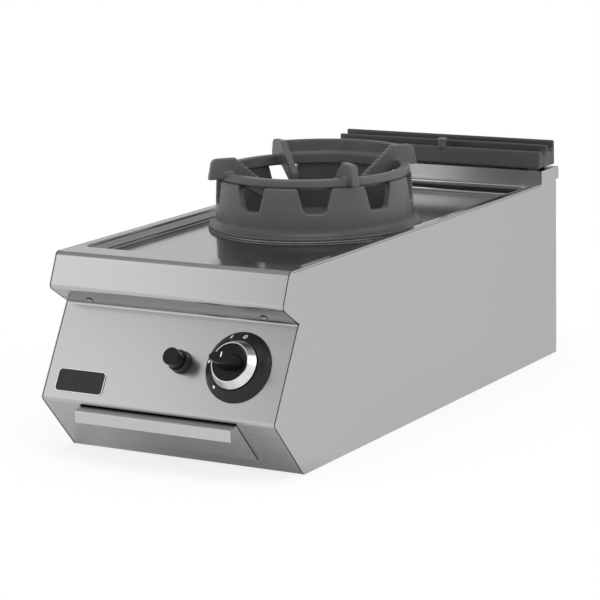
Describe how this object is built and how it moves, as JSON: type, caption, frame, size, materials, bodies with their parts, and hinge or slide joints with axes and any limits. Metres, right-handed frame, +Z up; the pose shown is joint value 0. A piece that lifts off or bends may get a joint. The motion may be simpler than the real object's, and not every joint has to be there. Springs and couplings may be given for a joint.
{
  "type": "wok range",
  "caption": "Counter-top gas wok range module with a two-piece cast iron wok ring in a pressed hob, a sloping control panel, a rear flue grate and a pull-out drip tray.",
  "frame": {"origin": "on the floor under the burner's axis, in the plane of the casing's underside, half way along and across the casing", "axes": "+X to the right as seen by the cook, +Y towards the rear with the flue, +Z up"},
  "size_m": [0.4, 0.9527, 0.3986],
  "materials": {
    "casing_steel": "brushed, grain along the panels",
    "plated_steel": "galvanised, dull",
    "screw_steel": "polished",
    "ring_iron": "matt grey enamel over cast iron",
    "grate_iron": "matt black enamel over cast iron",
    "burner_brass": "machined",
    "pipe_aluminium": "drawn",
    "lead_copper": "bare copper",
    "knob_black": "fine satin",
    "knob_silver": "turned and polished",
    "lead_black": "smooth insulation",
    "electrode_white": "glazed ceramic"
  },
  "bodies": {
    "casing": {"side_panel_left": "casing_steel", "side_panel_right": "casing_steel", "hob_top": "casing_steel", "control_panel": "casing_steel", "base_pan": "plated_steel", "rear_panel": "plated_steel", "flue_riser": "casing_steel", "flue_duct": "plated_steel", "rear_stops": "plated_steel", "bevel_screws": "screw_steel", "rear_screws": "screw_steel", "burner_rail_front": "plated_steel", "burner_rail_rear": "plated_steel", "burner_body": "grate_iron", "burner_crown": "burner_brass", "mixing_tube": "grate_iron", "air_disc": "plated_steel", "jet_bracket": "plated_steel", "injector": "burner_brass", "pilot_burner": "burner_brass", "spark_electrode": "electrode_white", "thermocouple": "lead_copper", "igniter_lead": "lead_black", "gas_inlet": "burner_brass", "supply_pipe": "plated_steel", "pipe_clips": "plated_steel", "burner_pipe": "pipe_aluminium", "pilot_pipe": "pipe_aluminium", "gas_valve": "burner_brass", "magnet_unit": "screw_steel", "valve_bracket": "plated_steel", "knob_bezel": "knob_black", "igniter_nut": "knob_black", "igniter_body": "knob_black", "tray_runner_left": "plated_steel", "tray_runner_right": "plated_steel"},
    "ring_lower": {"wok_ring_base": "ring_iron"},
    "ring_upper": {"wok_ring_top": "ring_iron"},
    "cap": {"burner_cap": "grate_iron"},
    "grate": {"flue_grate": "grate_iron", "grate_stud": "ring_iron"},
    "plunger": {"push_rod": "screw_steel"},
    "knob": {"valve_spindle": "screw_steel", "knob_trim_ring": "knob_silver", "knob_grip": "knob_black"},
    "button": {"igniter_button": "knob_black"},
    "tray": {"drip_tray": "casing_steel", "tray_front": "casing_steel"}
  },
  "joints": [
    {"name": "knob_push", "type": "slide", "parent": "casing", "child": "plunger", "axis": [0, 0.8735, -0.4868], "range_m": [0, 0.004], "stiffness_N_per_m": 1500},
    {"name": "knob_turn", "type": "hinge", "parent": "plunger", "child": "knob", "pos_m": [0.119, -0.42703, 0.15613], "axis": [0, -0.8735, 0.4868], "range_deg": [0, 140]},
    {"name": "igniter_push", "type": "slide", "parent": "casing", "child": "button", "axis": [0, 0.8735, -0.4868], "range_m": [0, 0.005], "stiffness_N_per_m": 1200},
    {"name": "tray_slide", "type": "slide", "parent": "casing", "child": "tray", "axis": [0, -1, 0], "range_m": [0, 0.45]},
    {"name": "ring_lift", "type": "slide", "parent": "casing", "child": "ring_lower", "axis": [0, 0, 1], "range_m": [0, 0.12]},
    {"name": "ring_top_lift", "type": "slide", "parent": "ring_lower", "child": "ring_upper", "axis": [0, 0, 1], "range_m": [0, 0.08]},
    {"name": "cap_lift", "type": "slide", "parent": "casing", "child": "cap", "axis": [0, 0, 1], "range_m": [0, 0.12]},
    {"name": "grate_lift", "type": "slide", "parent": "casing", "child": "grate", "axis": [0, 0, 1], "range_m": [0, 0.06]}
  ]
}
